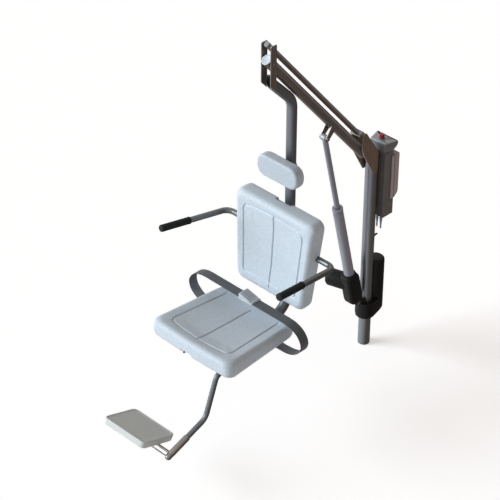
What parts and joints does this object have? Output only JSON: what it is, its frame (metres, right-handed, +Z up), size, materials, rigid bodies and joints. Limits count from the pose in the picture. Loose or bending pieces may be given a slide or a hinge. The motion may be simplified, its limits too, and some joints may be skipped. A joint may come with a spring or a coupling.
{
  "type": "pool patient lift",
  "caption": "Pool patient lift: a turning mast on a deck stub, a powered parallel arm and a hanging seat with headrest, armrests, belt and footrest.",
  "frame": {"origin": "centre of the deck stub's foot, on the mast's turning axis", "axes": "+Z up along the mast, -Y the way the seat faces and the arm reaches, +X to the sitter's left"},
  "size_m": [0.7714, 1.7052, 1.9815],
  "materials": {
    "mast_steel": "satin",
    "post_steel": "satin",
    "tube_steel": "satin",
    "bolt_steel": "satin",
    "drive_steel": "machined",
    "arm_metal": "satin",
    "bracket_metal": "satin",
    "seat_plastic": "smooth",
    "back_plastic": "smooth",
    "head_plastic": "smooth",
    "black_plastic": "matte",
    "clamp_black": "matte",
    "grip_rubber": "matte",
    "belt_web": "woven",
    "actuator_silver": "anodised",
    "box_dark": "smooth",
    "box_light": "smooth",
    "battery_grey": "smooth",
    "stop_red": "gloss",
    "plug_grey": "smooth",
    "plug_white": "smooth",
    "buckle_grey": "smooth",
    "foot_tread": "textured",
    "sleeve_metal": "satin",
    "bush_bronze": "machined"
  },
  "bodies": {
    "deck_stub": {"deck_stub_tube": "mast_steel", "stub_spindle": "drive_steel", "slew_gear_wheel": "drive_steel"},
    "mast": {"mast_flanged_bush": "bush_bronze", "slew_hub_housing": "black_plastic", "slew_motor_cover": "black_plastic", "slew_motor": "drive_steel", "mast_tube": "mast_steel", "mast_top_cap": "clamp_black", "mast_bracket_plate_left": "bracket_metal", "mast_bracket_plate_right": "bracket_metal", "mast_rear_knob": "clamp_black", "arm_pivot_bolt": "bolt_steel", "link_pivot_bolt": "bolt_steel", "actuator_foot_bracket": "clamp_black", "actuator_bottom_pin": "bolt_steel", "control_box_bracket": "bracket_metal", "control_box_body": "box_dark", "control_box_head": "box_light", "stop_button_collar": "clamp_black", "cable_plug_a": "plug_grey", "cable_plug_b": "plug_grey"},
    "slew_drive_pinion": {"slew_pinion": "drive_steel"},
    "lift_arm": {"main_arm_tube": "arm_metal", "arm_end_plug": "plug_white", "actuator_lug": "bracket_metal", "hanger_arm_bolt": "bolt_steel"},
    "upper_link": {"upper_link_tube": "arm_metal", "link_end_plug": "plug_grey"},
    "seat_carrier": {"hanger_link_bolt": "bolt_steel", "hanger_plate_left": "bracket_metal", "hanger_plate_right": "bracket_metal", "seat_post_tube": "post_steel", "seat_moulding": "seat_plastic", "backrest_moulding": "back_plastic", "back_mount_upper": "clamp_black", "back_mount_lower": "clamp_black", "seat_frame_bar_front": "tube_steel", "seat_frame_bar_rear": "tube_steel", "leg_socket_tube": "tube_steel", "leg_tube": "tube_steel", "seat_belt_left": "belt_web", "seat_belt_right": "belt_web", "belt_buckle": "buckle_grey"},
    "headrest": {"headrest_clamp": "clamp_black", "headrest_pad": "head_plastic"},
    "armrest_left": {"armrest_tube_left": "tube_steel", "armrest_grip_left": "grip_rubber"},
    "armrest_right": {"armrest_tube_right": "tube_steel", "armrest_grip_right": "grip_rubber"},
    "footrest": {"footrest_sleeve": "sleeve_metal", "footrest_pad": "foot_tread"},
    "actuator_barrel": {"actuator_gear_housing": "black_plastic", "actuator_motor": "black_plastic", "actuator_tube": "actuator_silver", "actuator_screw": "drive_steel"},
    "actuator_ram": {"actuator_rod": "actuator_silver", "actuator_top_pin": "bolt_steel"},
    "emergency_stop": {"stop_button": "stop_red"},
    "battery": {"battery_pack": "battery_grey"}
  },
  "joints": [
    {"name": "mast_swivel", "type": "hinge", "parent": "deck_stub", "child": "mast", "pos_m": [0, 0, 0.25], "axis": [0, 0, 1], "continuous": true},
    {"name": "slew_pinion_spin", "type": "hinge", "parent": "mast", "child": "slew_drive_pinion", "pos_m": [0, 0.062, 0.215], "axis": [0, 0, 1], "continuous": true},
    {"name": "arm_lift", "type": "hinge", "parent": "mast", "child": "lift_arm", "pos_m": [0, -0.08, 1.1517], "axis": [1, 0, 0], "range_deg": [0, 70]},
    {"name": "upper_link_swing", "type": "hinge", "parent": "mast", "child": "upper_link", "pos_m": [0, -0.08, 1.2293], "axis": [1, 0, 0], "range_deg": [0, 70]},
    {"name": "seat_carrier_level", "type": "hinge", "parent": "lift_arm", "child": "seat_carrier", "pos_m": [0, -0.69883, 1.87882], "axis": [1, 0, 0], "range_deg": [-70, 0]},
    {"name": "actuator_tilt", "type": "hinge", "parent": "mast", "child": "actuator_barrel", "pos_m": [0, -0.086, 0.3], "axis": [1, 0, 0], "range_deg": [0, 9.5]},
    {"name": "actuator_stroke", "type": "slide", "parent": "actuator_barrel", "child": "actuator_ram", "axis": [0, -0.2306, 0.9731], "range_m": [-0.333, 0]},
    {"name": "headrest_height", "type": "slide", "parent": "seat_carrier", "child": "headrest", "axis": [0, 0, 1], "range_m": [-0.08, 0.12]},
    {"name": "armrest_left_flip", "type": "hinge", "parent": "seat_carrier", "child": "armrest_left", "pos_m": [-0.25, -0.612, 0.9265], "axis": [1, 0, 0], "range_deg": [-100, 0]},
    {"name": "armrest_right_flip", "type": "hinge", "parent": "seat_carrier", "child": "armrest_right", "pos_m": [0.25, -0.612, 0.9265], "axis": [1, 0, 0], "range_deg": [-100, 0]},
    {"name": "footrest_flip", "type": "hinge", "parent": "seat_carrier", "child": "footrest", "pos_m": [0.166, -1.42, 0.28173], "axis": [0, 0.9367, 0.3502], "range_deg": [0, 95]},
    {"name": "emergency_stop_press", "type": "slide", "parent": "mast", "child": "emergency_stop", "axis": [0, 0, 1], "range_m": [-0.004, 0], "stiffness_N_per_m": 800, "springref_m": 0.001},
    {"name": "battery_pull", "type": "slide", "parent": "mast", "child": "battery", "axis": [0, 1, 0], "range_m": [0, 0.15]}
  ],
  "couplings": [
    {"joint": "slew_pinion_spin", "follows": "mast_swivel", "ratio": 2.1},
    {"joint": "upper_link_swing", "follows": "arm_lift", "ratio": 1},
    {"joint": "seat_carrier_level", "follows": "arm_lift", "ratio": -1},
    {"joint": "actuator_tilt", "follows": "arm_lift", "ratio": 0.135},
    {"joint": "actuator_stroke", "follows": "arm_lift", "m_per_rad": -0.27072}
  ]
}
